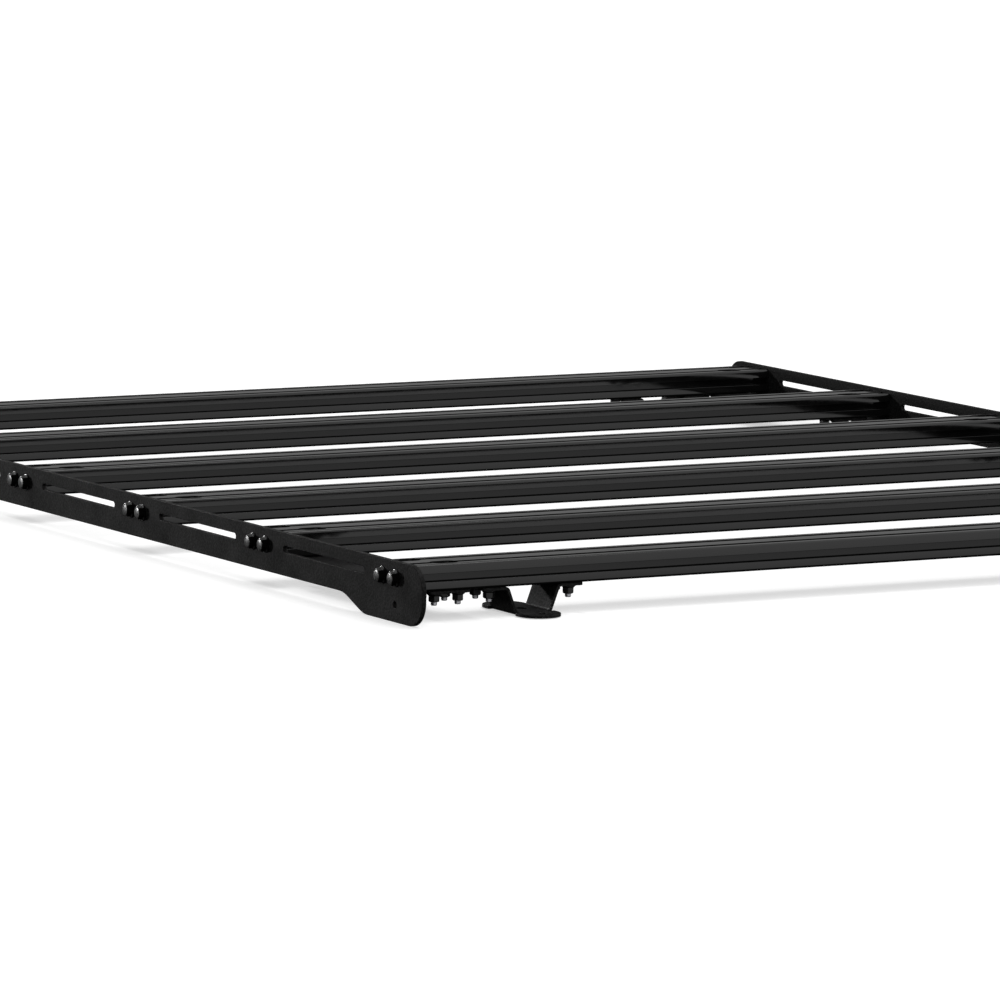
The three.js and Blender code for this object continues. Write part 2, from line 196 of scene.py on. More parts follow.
def lathe(rings, closed=False):
    """Skins a stack of rings. Each is (angles, radii, heights), with one of each per vertex."""
    bm = bmesh.new()
    made = []
    for angles, radii, heights in rings:
        loop = []
        for t, r, z in zip(angles, radii, heights):
            loop.append(bm.verts.new((r * math.cos(t), r * math.sin(t), z)))
        made.append(loop)
    pairs = list(zip(made, made[1:]))
    if closed:
        pairs.append((made[-1], made[0]))
    for one, two in pairs:
        bridge(bm, one, two)
    if not closed:
        for loop in (made[0], made[-1]):
            height = sum(v.co.z for v in loop) / len(loop)
            pole = bm.verts.new((0, 0, height))
            for i in range(len(loop)):
                bm.faces.new((loop[i], loop[(i + 1) % len(loop)], pole))
    bmesh.ops.recalc_face_normals(bm, faces=bm.faces)
    return bm


def to_mesh(bm, name):
    """Turns the bmesh into a smooth mesh whose normals follow the large faces."""
    mesh = bpy.data.meshes.new(name)
    bm.to_mesh(mesh)
    bm.free()
    mesh.shade_smooth()
    mesh.set_sharp_from_angle(angle=SHARP_ANGLE)
    holder = bpy.data.objects.new(name, mesh)
    bpy.context.scene.collection.objects.link(holder)
    holder.modifiers.new("normals", "WEIGHTED_NORMAL").keep_sharp = True
    bpy.context.view_layer.update()
    graph = bpy.context.evaluated_depsgraph_get()
    done = bpy.data.meshes.new_from_object(holder.evaluated_get(graph))
    done.name = name
    bpy.data.objects.remove(holder)
    bpy.data.meshes.remove(mesh)
    return done


def put(name, mesh, material, matrix, stands_for=()):
    """Adds one piece of the rack, in its place, riding on the rack's body."""
    obj = bpy.data.objects.new(name, mesh)
    bpy.context.scene.collection.objects.link(obj)
    obj.matrix_world = matrix
    if not mesh.materials:
        mesh.materials.append(material)
    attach(obj, BODY)
    if stands_for:
        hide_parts(*stands_for)


def frame_matrix(x_axis, y_axis, z_axis, origin):
    columns = Matrix((x_axis, y_axis, z_axis)).transposed().to_4x4()
    columns.translation = origin
    return columns


def across(origin):
    """Outline x to world Y, outline y to world Z, depth along world X."""
    return frame_matrix(Y_AXIS, Z_AXIS, X_AXIS, origin)


# ---------------------------------------------------------------- materials

# Colour of the painted shade on the fasteners' sides that face the rack's front
PAINTED_SHADE_TONE = 0.002


class Nodes:
    """A material under construction: a Principled shader and short calls that add nodes."""

    def __init__(self, name):
        self.material = bpy.data.materials.new(name)
        self.material.use_nodes = True
        self.tree = self.material.node_tree
        self.shader = self.tree.nodes["Principled BSDF"]
        self.position = self.add("ShaderNodeNewGeometry").outputs["Position"]

    def add(self, kind, **settings):
        node = self.tree.nodes.new(kind)
        for key, value in settings.items():
            setattr(node, key, value)
        return node

    def link(self, source, target):
        self.tree.links.new(source, target)

    def noise(self, scale, detail, rough=0.5, stretch=(1, 1, 1)):
        """Noise in the rack's space, with the scale in features per metre."""
        mapping = self.add("ShaderNodeMapping")
        mapping.inputs["Scale"].default_value = [scale * s for s in stretch]
        self.link(self.position, mapping.inputs["Vector"])
        noise = self.add("ShaderNodeTexNoise")
        noise.inputs["Scale"].default_value = 1.0
        noise.inputs["Detail"].default_value = detail
        noise.inputs["Roughness"].default_value = rough
        self.link(mapping.outputs["Vector"], noise.inputs["Vector"])
        return noise.outputs["Fac"]

    def remap(self, value, low, high, start=0.3, end=0.7):
        """Takes start..end to low..high, and holds both ends."""
        node = self.add("ShaderNodeMapRange", clamp=True)
        node.inputs["From Min"].default_value = start
        node.inputs["From Max"].default_value = end
        node.inputs["To Min"].default_value = low
        node.inputs["To Max"].default_value = high
        self.link(value, node.inputs["Value"])
        return node.outputs["Result"]

    def math(self, operation, first, second=0.0):
        node = self.add("ShaderNodeMath", operation=operation)
        for socket, value in zip(node.inputs, (first, second)):
            if isinstance(value, float):
                socket.default_value = value
            else:
                self.link(value, socket)
        return node.outputs[0]

    def mix(self, factor, first, second):
        node = self.add("ShaderNodeMix", data_type="RGBA")
        self.link(factor, node.inputs["Factor"])
        for socket, value in ((node.inputs["A"], first), (node.inputs["B"], second)):
            if isinstance(value, tuple):
                socket.default_value = (*value, 1)
            else:
                self.link(value, socket)
        return next(o for o in node.outputs if o.enabled)

    def bump(self, height, strength, distance, below=None):
        node = self.add("ShaderNodeBump")
        node.inputs["Strength"].default_value = strength
        node.inputs["Distance"].default_value = distance
        self.link(height, node.inputs["Height"])
        if below is not None:
            self.link(below, node.inputs["Normal"])
        return node.outputs["Normal"]


def grey(value, tint=0.0):
    return (value, value, value * (1 + tint))


def powder_coat(name, tone, roughness, grain, height):
    """Fine-textured black powder coat: a grainy surface with pale specks and a painted highlight on
    its edges.
    """
    n = Nodes(name)
    fine = n.noise(1 / grain, detail=3, rough=0.6)
    patches = n.noise(35, detail=3)
    pointed = n.add("ShaderNodeNewGeometry").outputs["Pointiness"]
    # Painted highlight: the sharpest edges, found by pointiness, are lightened as if they caught the
    # light
    painted_edge_highlight = n.remap(pointed, 0, 0.5, start=0.52, end=0.62)
    specks = n.remap(fine, 0, 1, start=0.42, end=0.6)
    speckled = n.mix(specks, grey(tone * 0.3), grey(tone * 2.0))
    with_edge_highlight = n.mix(painted_edge_highlight, speckled, grey(tone * 2.6))
    n.link(with_edge_highlight, n.shader.inputs["Base Color"])
    n.link(n.remap(patches, roughness - 0.04, roughness + 0.05), n.shader.inputs["Roughness"])
    n.link(n.bump(fine, 0.9, height), n.shader.inputs["Normal"])
    n.shader.inputs["Specular IOR Level"].default_value = 0.09
    return n.material


# Where the painted shade in the crossbars' slots ends: a little outside the slots themselves
DROP_IN_HALF = 8.3 * MM
SIDE_SLOT_HALF = 5.7 * MM
DROP_INS_START = BAR_LENGTH / 2 - 70 * MM
DROP_INS_FULL = BAR_LENGTH / 2 - 62 * MM
# A point this far below a crossbar's outer faces is inside a slot
SKIN = 0.2 * MM


def extruded(name, tone, roughness):
    """Glossy black extruded aluminium: faint die lines, a soft mottle and painted shade in the slots.

    A crossbar's own origin is its middle, so |x|, |y| and |z| in object space say how far along,
    how far out and how high a point of it lies."""
    n = Nodes(name)
    lines = n.noise(1500, detail=2, rough=0.6, stretch=(0.004, 1, 1))
    mottle = n.noise(60, detail=4, rough=0.6)
    fine = n.noise(1400, detail=2)
    colour = n.mix(n.remap(mottle, 0, 1), grey(tone * 0.85), grey(tone * 1.2))
    n.link(colour, n.shader.inputs["Base Color"])
    n.link(n.remap(mottle, roughness - 0.02, roughness + 0.03), n.shader.inputs["Roughness"])
    bumpy = n.bump(fine, 0.1, 0.004 * MM)
    n.link(n.bump(lines, 0.15, 0.006 * MM, bumpy), n.shader.inputs["Normal"])
    axes = n.add("ShaderNodeSeparateXYZ")
    n.link(n.add("ShaderNodeTexCoord").outputs["Object"], axes.inputs["Vector"])
    up = n.math("ABSOLUTE", axes.outputs["Z"])
    out = n.math("ABSOLUTE", axes.outputs["Y"])
    off_row = n.math("ABSOLUTE", n.math("SUBTRACT", out, STUD_ROW))
    along = n.math("ABSOLUTE", axes.outputs["X"])
    # Painted shade: inside the slots the reflection is turned down, to about a third in the top
    # slots, to near nothing in them by the drop-in openings, and to about two thirds in the side
    # slots
    sunk = n.remap(up, 1, 0, BAR_HEIGHT / 2 - SKIN, BAR_HEIGHT / 2 - SKIN / 2)
    in_row = n.remap(off_row, 1, 0, DROP_IN_HALF, DROP_IN_HALF + SKIN)
    above_side_slot = n.remap(up, 0, 1, SIDE_SLOT_HALF, SIDE_SLOT_HALF + SKIN)
    top_slot = n.math("MULTIPLY", n.math("MULTIPLY", sunk, in_row), above_side_slot)
    recessed = n.remap(out, 1, 0, BAR_WIDTH / 2 - SKIN, BAR_WIDTH / 2 - SKIN / 2)
    side_slot = n.math("SUBTRACT", recessed, above_side_slot)
    drop_in_shade = n.remap(along, 0.7, 0.95, DROP_INS_START, DROP_INS_FULL)
    top_shaded_shine = n.remap(n.math("MULTIPLY", top_slot, drop_in_shade), 0.5, 0.0, 0, 1)
    side_shaded_shine = n.remap(side_slot, 1, 0.65, 0, 1)
    shine = n.math("MULTIPLY", top_shaded_shine, side_shaded_shine)
    n.link(shine, n.shader.inputs["Specular IOR Level"])
    return n.material


def black_fastener(name, tone, roughness, metallic, shine, front_shade):
    """Black plated steel with fine pits and a painted highlight on its corners.

    Where front_shade is 1, what faces the rack's front gets painted shade: black and without
    reflection. Where it is 0, nothing is."""
    n = Nodes(name)
    pits = n.noise(1800, detail=3)
    cloud = n.noise(300, detail=2)
    pointed = n.add("ShaderNodeNewGeometry").outputs["Pointiness"]
    # Painted highlight: the sharpest corners, found by pointiness, are lightened as if they caught
    # the light
    painted_edge_highlight = n.remap(pointed, 0, 0.35, start=0.53, end=0.66)
    base = n.mix(n.remap(cloud, 0, 1), grey(tone * 0.8), grey(tone * 1.25))
    with_edge_highlight = n.mix(painted_edge_highlight, base, grey(tone * 3.0))
    axes = n.add("ShaderNodeSeparateXYZ")
    n.link(n.add("ShaderNodeNewGeometry").outputs["Normal"], axes.inputs["Vector"])
    # Painted shade: faces turned towards the rack's front are made black and lose their reflection,
    # as far as front_shade says
    unshaded = n.remap(axes.outputs["Y"], 1 - front_shade, 1, start=-0.45, end=-0.2)
    n.link(n.mix(unshaded, grey(PAINTED_SHADE_TONE), with_edge_highlight), n.shader.inputs["Base Color"])
    n.link(n.remap(unshaded, 0, shine, 0, 1), n.shader.inputs["Specular IOR Level"])
    n.link(n.remap(cloud, roughness - 0.04, roughness + 0.06), n.shader.inputs["Roughness"])
    n.shader.inputs["Metallic"].default_value = metallic
    n.link(n.bump(pits, 0.3, 0.02 * MM), n.shader.inputs["Normal"])
    return n.material


def bright_thread(name):
    """Zinc-plated steel thread: silver, slightly mottled and bluish."""
    n = Nodes(name)
    cloud = n.noise(700, detail=3)
    pits = n.noise(2500, detail=2)
    base = n.mix(n.remap(cloud, 0, 1), grey(0.50, 0.03), grey(0.68, 0.05))
    n.link(base, n.shader.inputs["Base Color"])
    n.link(n.remap(cloud, 0.26, 0.4), n.shader.inputs["Roughness"])
    n.shader.inputs["Metallic"].default_value = 1.0
    n.link(n.bump(pits, 0.2, 0.01 * MM), n.shader.inputs["Normal"])
    return n.material


PLATE_COAT = powder_coat(
    "side_plate_powder_coat", tone=0.006, roughness=0.6, grain=2.2 * MM, height=0.4 * MM)
BRACKET_COAT = powder_coat(
    "bracket_powder_coat", tone=0.006, roughness=0.56, grain=2.4 * MM, height=0.6 * MM)
BAR_FINISH = extruded("crossbar_black_anodised", tone=0.003, roughness=0.08)
# The bolts get painted shade on the sides that face the rack's front; the nuts get none
BOLT_FINISH = black_fastener(
    "bolt_black_plating", tone=0.055, roughness=0.28, metallic=0.0, shine=0.4, front_shade=1)
NUT_FINISH = black_fastener(
    "nut_black_plating", tone=0.014, roughness=0.33, metallic=0.35, shine=0.5, front_shade=0)
STUD_FINISH = bright_thread("stud_bright_zinc")

# ---------------------------------------------------------------- side plates

LOBE_DROP = 15.9 * MM
PLATE_CORNER = 24 * MM
LOBE_FLAT_INSET = 48.5 * MM
LOBE_RAMP = 39.2 * MM
LOBE_BLEND = 45 * MM
TIE_SLOT_LENGTH = 158.4 * MM
TIE_SLOT_HEIGHT = 6.4 * MM
BOLT_HOLE_RADIUS = 4.4 * MM
LOBE_HOLE_RADIUS = 3.4 * MM
LOBE_HOLE_INSET = 11.8 * MM
LOBE_HOLE_DEPTH = 37.7 * MM
PLATE_EDGE = 0.4 * MM


def side_plate_mesh():
    """Cut-out plate: outline x is world Y and outline y is world Z."""
    end = PLATE_HALF_LENGTH
    flat_end = -FIRST_BAR_Y - LOBE_FLAT_INSET
    ramp_end = flat_end - LOBE_RAMP
    body_bottom = PLATE_BOTTOM + LOBE_DROP
    outline = rounded([
        (-end, PLATE_TOP, PLATE_CORNER),
        (-end, PLATE_BOTTOM, PLATE_CORNER),
        (-flat_end, PLATE_BOTTOM, LOBE_BLEND),
        (-ramp_end, body_bottom, LOBE_BLEND),
        (ramp_end, body_bottom, LOBE_BLEND),
        (flat_end, PLATE_BOTTOM, LOBE_BLEND),
        (end, PLATE_BOTTOM, PLATE_CORNER),
        (end, PLATE_TOP, PLATE_CORNER),
    ], steps=14)
    holes = []
    for bay in range(BAR_COUNT - 1):
        middle = (bar_y(bay) + bar_y(bay + 1)) / 2
        holes.append(round_slot(middle, BAR_MIDDLE, TIE_SLOT_LENGTH, TIE_SLOT_HEIGHT, 10))
    for bar in range(BAR_COUNT):
        for side, _ in ROWS:
            holes.append(circle(bar_y(bar) + side * STUD_ROW, BAR_MIDDLE, BOLT_HOLE_RADIUS))
    for side, _ in ROWS:
        hole_y = side * (-FIRST_BAR_Y + LOBE_HOLE_INSET)
        holes.append(circle(hole_y, BAR_TOP - LOBE_HOLE_DEPTH, LOBE_HOLE_RADIUS))
    return to_mesh(prism(outline, holes, PLATE_THICKNESS, PLATE_EDGE), "side_plate")


def add_side_plates():
    mesh = side_plate_mesh()
    for side, label in SIDES:
        place = across(Vector((side * (HALF_WIDTH - PLATE_THICKNESS / 2), 0, 0)))
        node = f"side_plate_{label}"
        put(f"side_plate_{label}_coated", mesh, PLATE_COAT, place, [node])


# ---------------------------------------------------------------- crossbars

BAR_CORNER = 2.5 * MM
LIP_EDGE = 0.3 * MM
CAVITY_EDGE = 0.6 * MM
# T-slots: width of the opening, thickness of the lip, width of the cavity, depth of the whole slot
TOP_SLOT = (8.0 * MM, 2.2 * MM, 14.6 * MM, 6.4 * MM)
SIDE_SLOT = (7.8 * MM, 2.0 * MM, 11.2 * MM, 6.2 * MM)
SCREW_BORE_RADIUS = 4.35 * MM
# Quarter of the closed chamber between the screw bores
CHAMBER_CORNER = 0.5 * MM
CHAMBER = [
    (6.4 * MM, 3.2 * MM, CHAMBER_CORNER),
    (3.5 * MM, 4.2 * MM, CHAMBER_CORNER),
    (3.5 * MM, 10.2 * MM, CHAMBER_CORNER),
]
DROP_IN_LENGTH = 28 * MM
DROP_IN_WIDTH = 16 * MM
# Places of the drop-in openings, from the outer face of the side plate
DROP_IN_REAR = 25.4 * MM
DROP_IN_FRONT = 50.8 * MM
DROP_IN_CHAMFER = 0.12 * MM
CUT_ABOVE = 0.5 * MM
CUT_BELOW_LIP = 0.15 * MM
BAR_END_EDGE = 0.3 * MM


def slot_corners(opening, lip, cavity, depth):
    """T-slot outline from lip to lip: (along the face, depth below the face, corner radius)."""
    mouth, wing = opening / 2, cavity / 2
    half = [(mouth, 0, LIP_EDGE), (mouth, lip, LIP_EDGE)]
    half += [(wing, lip, CAVITY_EDGE), (wing, depth, CAVITY_EDGE)]
    return [(-s, d, r) for s, d, r in half] + [(s, d, r) for s, d, r in reversed(half)]


def crossbar_outline():
    """Section with two T-slots above, two below and one on each side."""
    w, h = BAR_WIDTH / 2, BAR_HEIGHT / 2
    top, side = slot_corners(*TOP_SLOT), slot_corners(*SIDE_SLOT)
    corners = [(-w, -h, BAR_CORNER)]
    for middle in (-STUD_ROW, STUD_ROW):
        corners += [(middle + s, d - h, r) for s, d, r in top]
    corners.append((w, -h, BAR_CORNER))
    corners += [(w - d, s, r) for s, d, r in side]
    corners.append((w, h, BAR_CORNER))
    for middle in (STUD_ROW, -STUD_ROW):
        corners += [(middle - s, h - d, r) for s, d, r in top]
    corners.append((-w, h, BAR_CORNER))
    corners += [(d - w, -s, r) for s, d, r in side]
    return rounded(corners, steps=4)


def crossbar_mesh():
    holes = [circle(row, 0, SCREW_BORE_RADIUS) for row in (-STUD_ROW, STUD_ROW)]
    holes.append(rounded(mirrored(CHAMBER), steps=3))
    bm = prism(crossbar_outline(), holes, BAR_LENGTH, BAR_END_EDGE, steps=2)
    bm.transform(across(Vector((0, 0, 0))))
    return with_drop_ins(to_mesh(bm, "crossbar"))


def drop_in_cutters():
    """Cutters for the drop-in openings in the top lips, each a little wider at the top face."""
    bm = bmesh.new()
    _, lip, _, _ = TOP_SLOT
    levels = (
        (CUT_ABOVE, DROP_IN_CHAMFER + CUT_ABOVE),
        (-DROP_IN_CHAMFER, 0),
        (-lip - CUT_BELOW_LIP, 0),
    )
    for side, _ in SIDES:
        for from_face, row in ((DROP_IN_FRONT, -STUD_ROW), (DROP_IN_REAR, STUD_ROW)):
            x = side * (HALF_WIDTH - from_face)
            loop = round_slot(x, row, DROP_IN_LENGTH, DROP_IN_WIDTH, 12)
            rings = []
            for z, grow in levels:
                grown = inset(loop, -grow)
                rings.append([bm.verts.new((*point, BAR_HEIGHT / 2 + z)) for point in grown])
            bm.faces.new(rings[0])
            bm.faces.new(rings[-1][::-1])
            for above, below in zip(rings, rings[1:]):
                bridge(bm, below, above)
    bmesh.ops.recalc_face_normals(bm, faces=bm.faces)
    mesh = bpy.data.meshes.new("drop_in_cutters")
    bm.to_mesh(mesh)
    bm.free()
    return mesh


def with_drop_ins(mesh):
    """Cuts the drop-in openings, then renews the normals."""
    bar = bpy.data.objects.new("crossbar_blank", mesh)
    cutter = bpy.data.objects.new("drop_in_cutters", drop_in_cutters())
    for obj in (bar, cutter):
        bpy.context.scene.collection.objects.link(obj)
    boolean = bar.modifiers.new("drop_ins", "BOOLEAN")
    boolean.object = cutter
    boolean.solver = "EXACT"
    bpy.context.view_layer.update()
    graph = bpy.context.evaluated_depsgraph_get()
    cut = bpy.data.meshes.new_from_object(bar.evaluated_get(graph))
    bm = bmesh.new()
    bm.from_mesh(cut)
    for obj in (bar, cutter):
        bpy.data.objects.remove(obj)
    return to_mesh(bm, "crossbar")


def add_crossbars():
    mesh = crossbar_mesh()
    for bar in range(BAR_COUNT):
        place = Matrix.Translation((0, bar_y(bar), BAR_MIDDLE))
        node = f"crossbar_{bar + 1}"
        put(f"{node}_extrusion", mesh, BAR_FINISH, place, [node])


# ---------------------------------------------------------------- fasteners

# Degrees from each corner of a hexagon, closer together where it bends
HEX_CORNER_STEPS = (-30, -18, -9, -5, -2.5, 0, 2.5, 5, 9, 18)
HEX_ANGLES = [math.radians(30 + 60 * k + s) for k in range(6) for s in HEX_CORNER_STEPS]
HEX_SHARPNESS = 60


def hexagon(apothem):
    """Radius of a hexagon with slightly softened corners, at each of HEX_ANGLES."""
    radii = []
    for t in HEX_ANGLES:
        total = sum(max(0.0, math.cos(t - math.radians(60 * k))) ** HEX_SHARPNESS for k in range(6))
        radii.append(apothem / total ** (1 / HEX_SHARPNESS))
    return np.array(radii)


def ring(radius, height):
    """One ring for lathe(): the radius and height are numbers or arrays over HEX_ANGLES."""
    ones = np.ones(len(HEX_ANGLES))
    return HEX_ANGLES, ones * radius, ones * height


def stack(profile):
    """Rings for lathe() from a list of (radius, height)."""
    return [ring(radius, height) for radius, height in profile]


def arc_rings(radius, height, size, start, end, steps):
    """Rings round an edge: an arc of the given size about (radius, height), angles in degrees."""
    made = []
    for i in range(steps + 1):
        a = math.radians(start + (end - start) * i / steps)
        made.append(ring(radius + size * math.cos(a), height + size * math.sin(a)))
    return made


END_BOLT_REACH = 22 * MM
END_BOLT_SHANK = 4 * MM
SHANK_CHAMFER = 0.8 * MM
SEAT_GAP = 0.02 * MM
FLANGE_RADIUS = 8.3 * MM
FLANGE_RIM = 1.2 * MM
HEAD_FLAT = 6.0 * MM
HEAD_HEIGHT = 6.8 * MM
HEAD_CROWN = 5.2 * MM
HEAD_SLOPE = math.tan(math.radians(32))
HEAD_TURN = math.radians(17)


def end_bolt_mesh():
    """Hexagon flange bolt. Its axis is z, the flange sits on z = 0 and the shank points down."""
    flats = hexagon(HEAD_FLAT)
    shoulder = HEAD_HEIGHT - (flats - HEAD_CROWN) * HEAD_SLOPE
    rim = FLANGE_RIM / 2
    rings = stack([
        (END_BOLT_SHANK - SHANK_CHAMFER, -END_BOLT_REACH),
        (END_BOLT_SHANK, SHANK_CHAMFER - END_BOLT_REACH),
        (END_BOLT_SHANK, -SEAT_GAP),
        (FLANGE_RADIUS - rim / 2, 0),
    ])
    rings += arc_rings(FLANGE_RADIUS - rim, rim, rim, -80, 80, 6)
    rings += stack([
        (flats + 0.9 * MM, 1.75 * MM),
        (flats + 0.35 * MM, 1.95 * MM),
        (flats, 2.4 * MM),
        (flats, shoulder - 0.25 * MM),
        (flats - 0.12 * MM, shoulder),
    ])
    for share in (0.33, 0.66):
        part = HEAD_CROWN + (flats - HEAD_CROWN) * (1 - share)
        rings.append(ring(part, HEAD_HEIGHT - (part - HEAD_CROWN) * HEAD_SLOPE))
    rings += stack([
        (HEAD_CROWN + 0.1 * MM, HEAD_HEIGHT - 0.08 * MM),
        (HEAD_CROWN - 0.25 * MM, HEAD_HEIGHT),
        (HEAD_CROWN - 1.1 * MM, HEAD_HEIGHT + 0.12 * MM),
        (HEAD_CROWN - 2.6 * MM, HEAD_HEIGHT + 0.25 * MM),
        (0.6 * MM, HEAD_HEIGHT + 0.32 * MM),
    ])
    return to_mesh(lathe(rings), "end_bolt")


def add_end_bolts():
    mesh = end_bolt_mesh()
    for side, side_label in SIDES:
        for bar in range(BAR_COUNT):
            for row, row_label in ROWS:
                node = f"end_bolt_{side_label}_{bar + 1}_{row_label}"
                _, y, z = middle_of(node)
                seat = Vector((side * (HALF_WIDTH + SEAT_GAP), y, z))
                out = X_AXIS * side
                place = frame_matrix(Z_AXIS.cross(out) * -1, Z_AXIS, out, seat)
                place = place @ Matrix.Rotation(HEAD_TURN * side, 4, "Z")
                put(f"{node}_hex_flange", mesh, BOLT_FINISH, place, [node])


CLEARANCE = 0.3 * MM
SHEET = 3 * MM
NUT_TOP = -SHEET - 2 * CLEARANCE
NUT_HEIGHT = 8 * MM
NUT_BOTTOM = NUT_TOP - NUT_HEIGHT
NUT_FLAT = 5 * MM
NUT_CROWN = 4.35 * MM
NUT_SLOPE = math.tan(math.radians(35))
NUT_FLANGE = 7.2 * MM
NUT_RIM = 0.5 * MM
STUD_RADIUS = 3 * MM
STUD_END = NUT_BOTTOM - 3.4 * MM
NUT_BORE = STUD_RADIUS + 0.08 * MM
TIP_CHAMFER = 0.7 * MM
TIP_TAPER = 0.9
THREAD_START = NUT_BOTTOM + 1.2 * MM
THREAD_PITCH = 1 * MM
THREAD_DEPTH = 0.55 * MM
THREAD_STEEPNESS = 2.6
THREAD_SEGMENTS = 24
ROWS_PER_PITCH = 8
T_HEAD_LENGTH = 11 * MM
T_HEAD_WIDTH = 12.4 * MM
T_HEAD_HEIGHT = 3 * MM
T_HEAD_CORNER = 1.5 * MM
T_HEAD_EDGE = 0.35 * MM


def nut_mesh():
    """Hexagon flange nut, hanging with its flange against the sheet above it."""
    flats = hexagon(NUT_FLAT)
    shoulder = NUT_BOTTOM + (flats - NUT_CROWN) * NUT_SLOPE
    rings = stack([
        (NUT_BORE, NUT_TOP - 0.4 * MM),
        (NUT_BORE + 0.5 * MM, NUT_TOP),
        (NUT_FLANGE - 0.3 * MM, NUT_TOP),
    ])
    rings += arc_rings(NUT_FLANGE - NUT_RIM, NUT_TOP - NUT_RIM, NUT_RIM, 80, -80, 5)
    rings += stack([
        (flats + 0.5 * MM, NUT_TOP - 1.75 * MM),
        (flats, NUT_TOP - 2.3 * MM),
        (flats, shoulder + 0.2 * MM),
        (flats - 0.12 * MM, shoulder),
        (NUT_CROWN + 0.1 * MM, NUT_BOTTOM + 0.1 * MM),
        (NUT_CROWN - 0.2 * MM, NUT_BOTTOM),
        (NUT_BORE + 0.55 * MM, NUT_BOTTOM),
        (NUT_BORE, NUT_BOTTOM + 0.5 * MM),
    ])
    return to_mesh(lathe(rings, closed=True), "flange_nut")


def thread_rings(angles):
    """Rings down to the stud's end, whose radii follow a helical thread and a tapered tip."""
    rows = round((THREAD_START - STUD_END) / THREAD_PITCH * ROWS_PER_PITCH)
    rings = []
    for k in range(rows + 1):
        z = THREAD_START + (STUD_END - THREAD_START) * k / rows
        run_in = min(1.0, k / ROWS_PER_PITCH)
        tip = STUD_RADIUS - max(0.0, TIP_CHAMFER - (z - STUD_END)) * TIP_TAPER
        radii = []
        for t in angles:
            phase = (z / THREAD_PITCH - t / (2 * math.pi)) % 1
            crest = min(1.0, THREAD_STEEPNESS * (1 - abs(2 * phase - 1)))
            radii.append(min(STUD_RADIUS - THREAD_DEPTH * (1 - crest) * run_in, tip))
        rings.append((angles, radii, [z] * THREAD_SEGMENTS))
    return rings


def t_bolt_mesh():
    """T-bolt: a block head in the bar's slot and a shaft whose end carries a helical thread."""
    angles = [2 * math.pi * i / THREAD_SEGMENTS for i in range(THREAD_SEGMENTS)]
    plain = [STUD_RADIUS] * THREAD_SEGMENTS
    _, lip, _, _ = TOP_SLOT
    head_middle = lip + CLEARANCE + T_HEAD_HEIGHT / 2
    rings = [
        (angles, plain, [head_middle] * THREAD_SEGMENTS),
        (angles, plain, [THREAD_START + 0.4 * MM] * THREAD_SEGMENTS),
    ]
    bm = lathe(rings + thread_rings(angles))
    outline = rectangle(0, 0, T_HEAD_LENGTH, T_HEAD_WIDTH, T_HEAD_CORNER, 4)
    head = prism(outline, [], T_HEAD_HEIGHT, T_HEAD_EDGE, 2)
    head.transform(Matrix.Translation((0, 0, head_middle)))
    block = bpy.data.meshes.new("t_head")
    head.to_mesh(block)
    head.free()
    bm.from_mesh(block)
    bpy.data.meshes.remove(block)
    return to_mesh(bm, "t_bolt")


def add_fastener(name, nut, stud, x, y, turn, stands_for=()):
    """A T-bolt and its nut under a bar. The turn is the nut's, in radians."""
    at = Matrix.Translation((x, y, BAR_BOTTOM))
    put(f"{name}_t_bolt", stud, STUD_FINISH, at)
    spun = at @ Matrix.Rotation(turn, 4, "Z")
    put(f"{name}_flange_nut", nut, NUT_FINISH, spun, stands_for)


# ---------------------------------------------------------------- feet

SHEET_WIDTH = 44.5 * MM
SHEET_EDGE = 0.4 * MM
FOOT_HEIGHT = 27.6 * MM
FLANGE_END = 54.2 * MM
FOOT_STUD = 42.9 * MM
LEG_HALF = 19.4 * MM
LEG_TILT = math.radians(20.6)
BEND_INSIDE = 2.5 * MM
BASE_END = 52 * MM
BASE_HALF = 21.5 * MM
NECK_HALF = 15.5 * MM
RELIEF = 2.5 * MM
RELIEF_CORNER = 0.8 * MM
FLANGE_CORNER = 3 * MM
BASE_CORNER = 1.5 * MM
BASE_ROUND = BASE_HALF * 0.97
BASE_CENTRE_HOLE = 5.2 * MM
BASE_END_HOLE = 3.4 * MM
BASE_END_HOLE_AT = 38 * MM
STUD_HOLE = 3.5 * MM
BEND_SLICES = 8

# The sheet is cut out flat and then bent. FIRST_BEND, SECOND_BEND, FLANGE_START and FLANGE_RUN_END
# are distances along the flat sheet from the foot's middle
BEND_ANGLE = math.pi / 2 - LEG_TILT
BEND_MIDDLE = BEND_INSIDE + SHEET / 2
FIRST_BEND = LEG_HALF - (BEND_INSIDE + SHEET) * math.tan(BEND_ANGLE / 2)
BEND_RUN = BEND_MIDDLE * BEND_ANGLE
LEG_LENGTH = (FOOT_HEIGHT - SHEET) / math.cos(LEG_TILT)
LEG_RUN = LEG_LENGTH - (2 * BEND_INSIDE + SHEET) * math.tan(BEND_ANGLE / 2)
SECOND_BEND = FIRST_BEND + BEND_RUN + LEG_RUN
FLANGE_START = SECOND_BEND + BEND_RUN
LEG_LEAN = (FOOT_HEIGHT - SHEET) * math.tan(LEG_TILT)
FLANGE_X = LEG_HALF + LEG_LEAN + BEND_INSIDE * math.tan(BEND_ANGLE / 2)
FLANGE_RUN_END = FLANGE_START + FLANGE_END - FLANGE_X


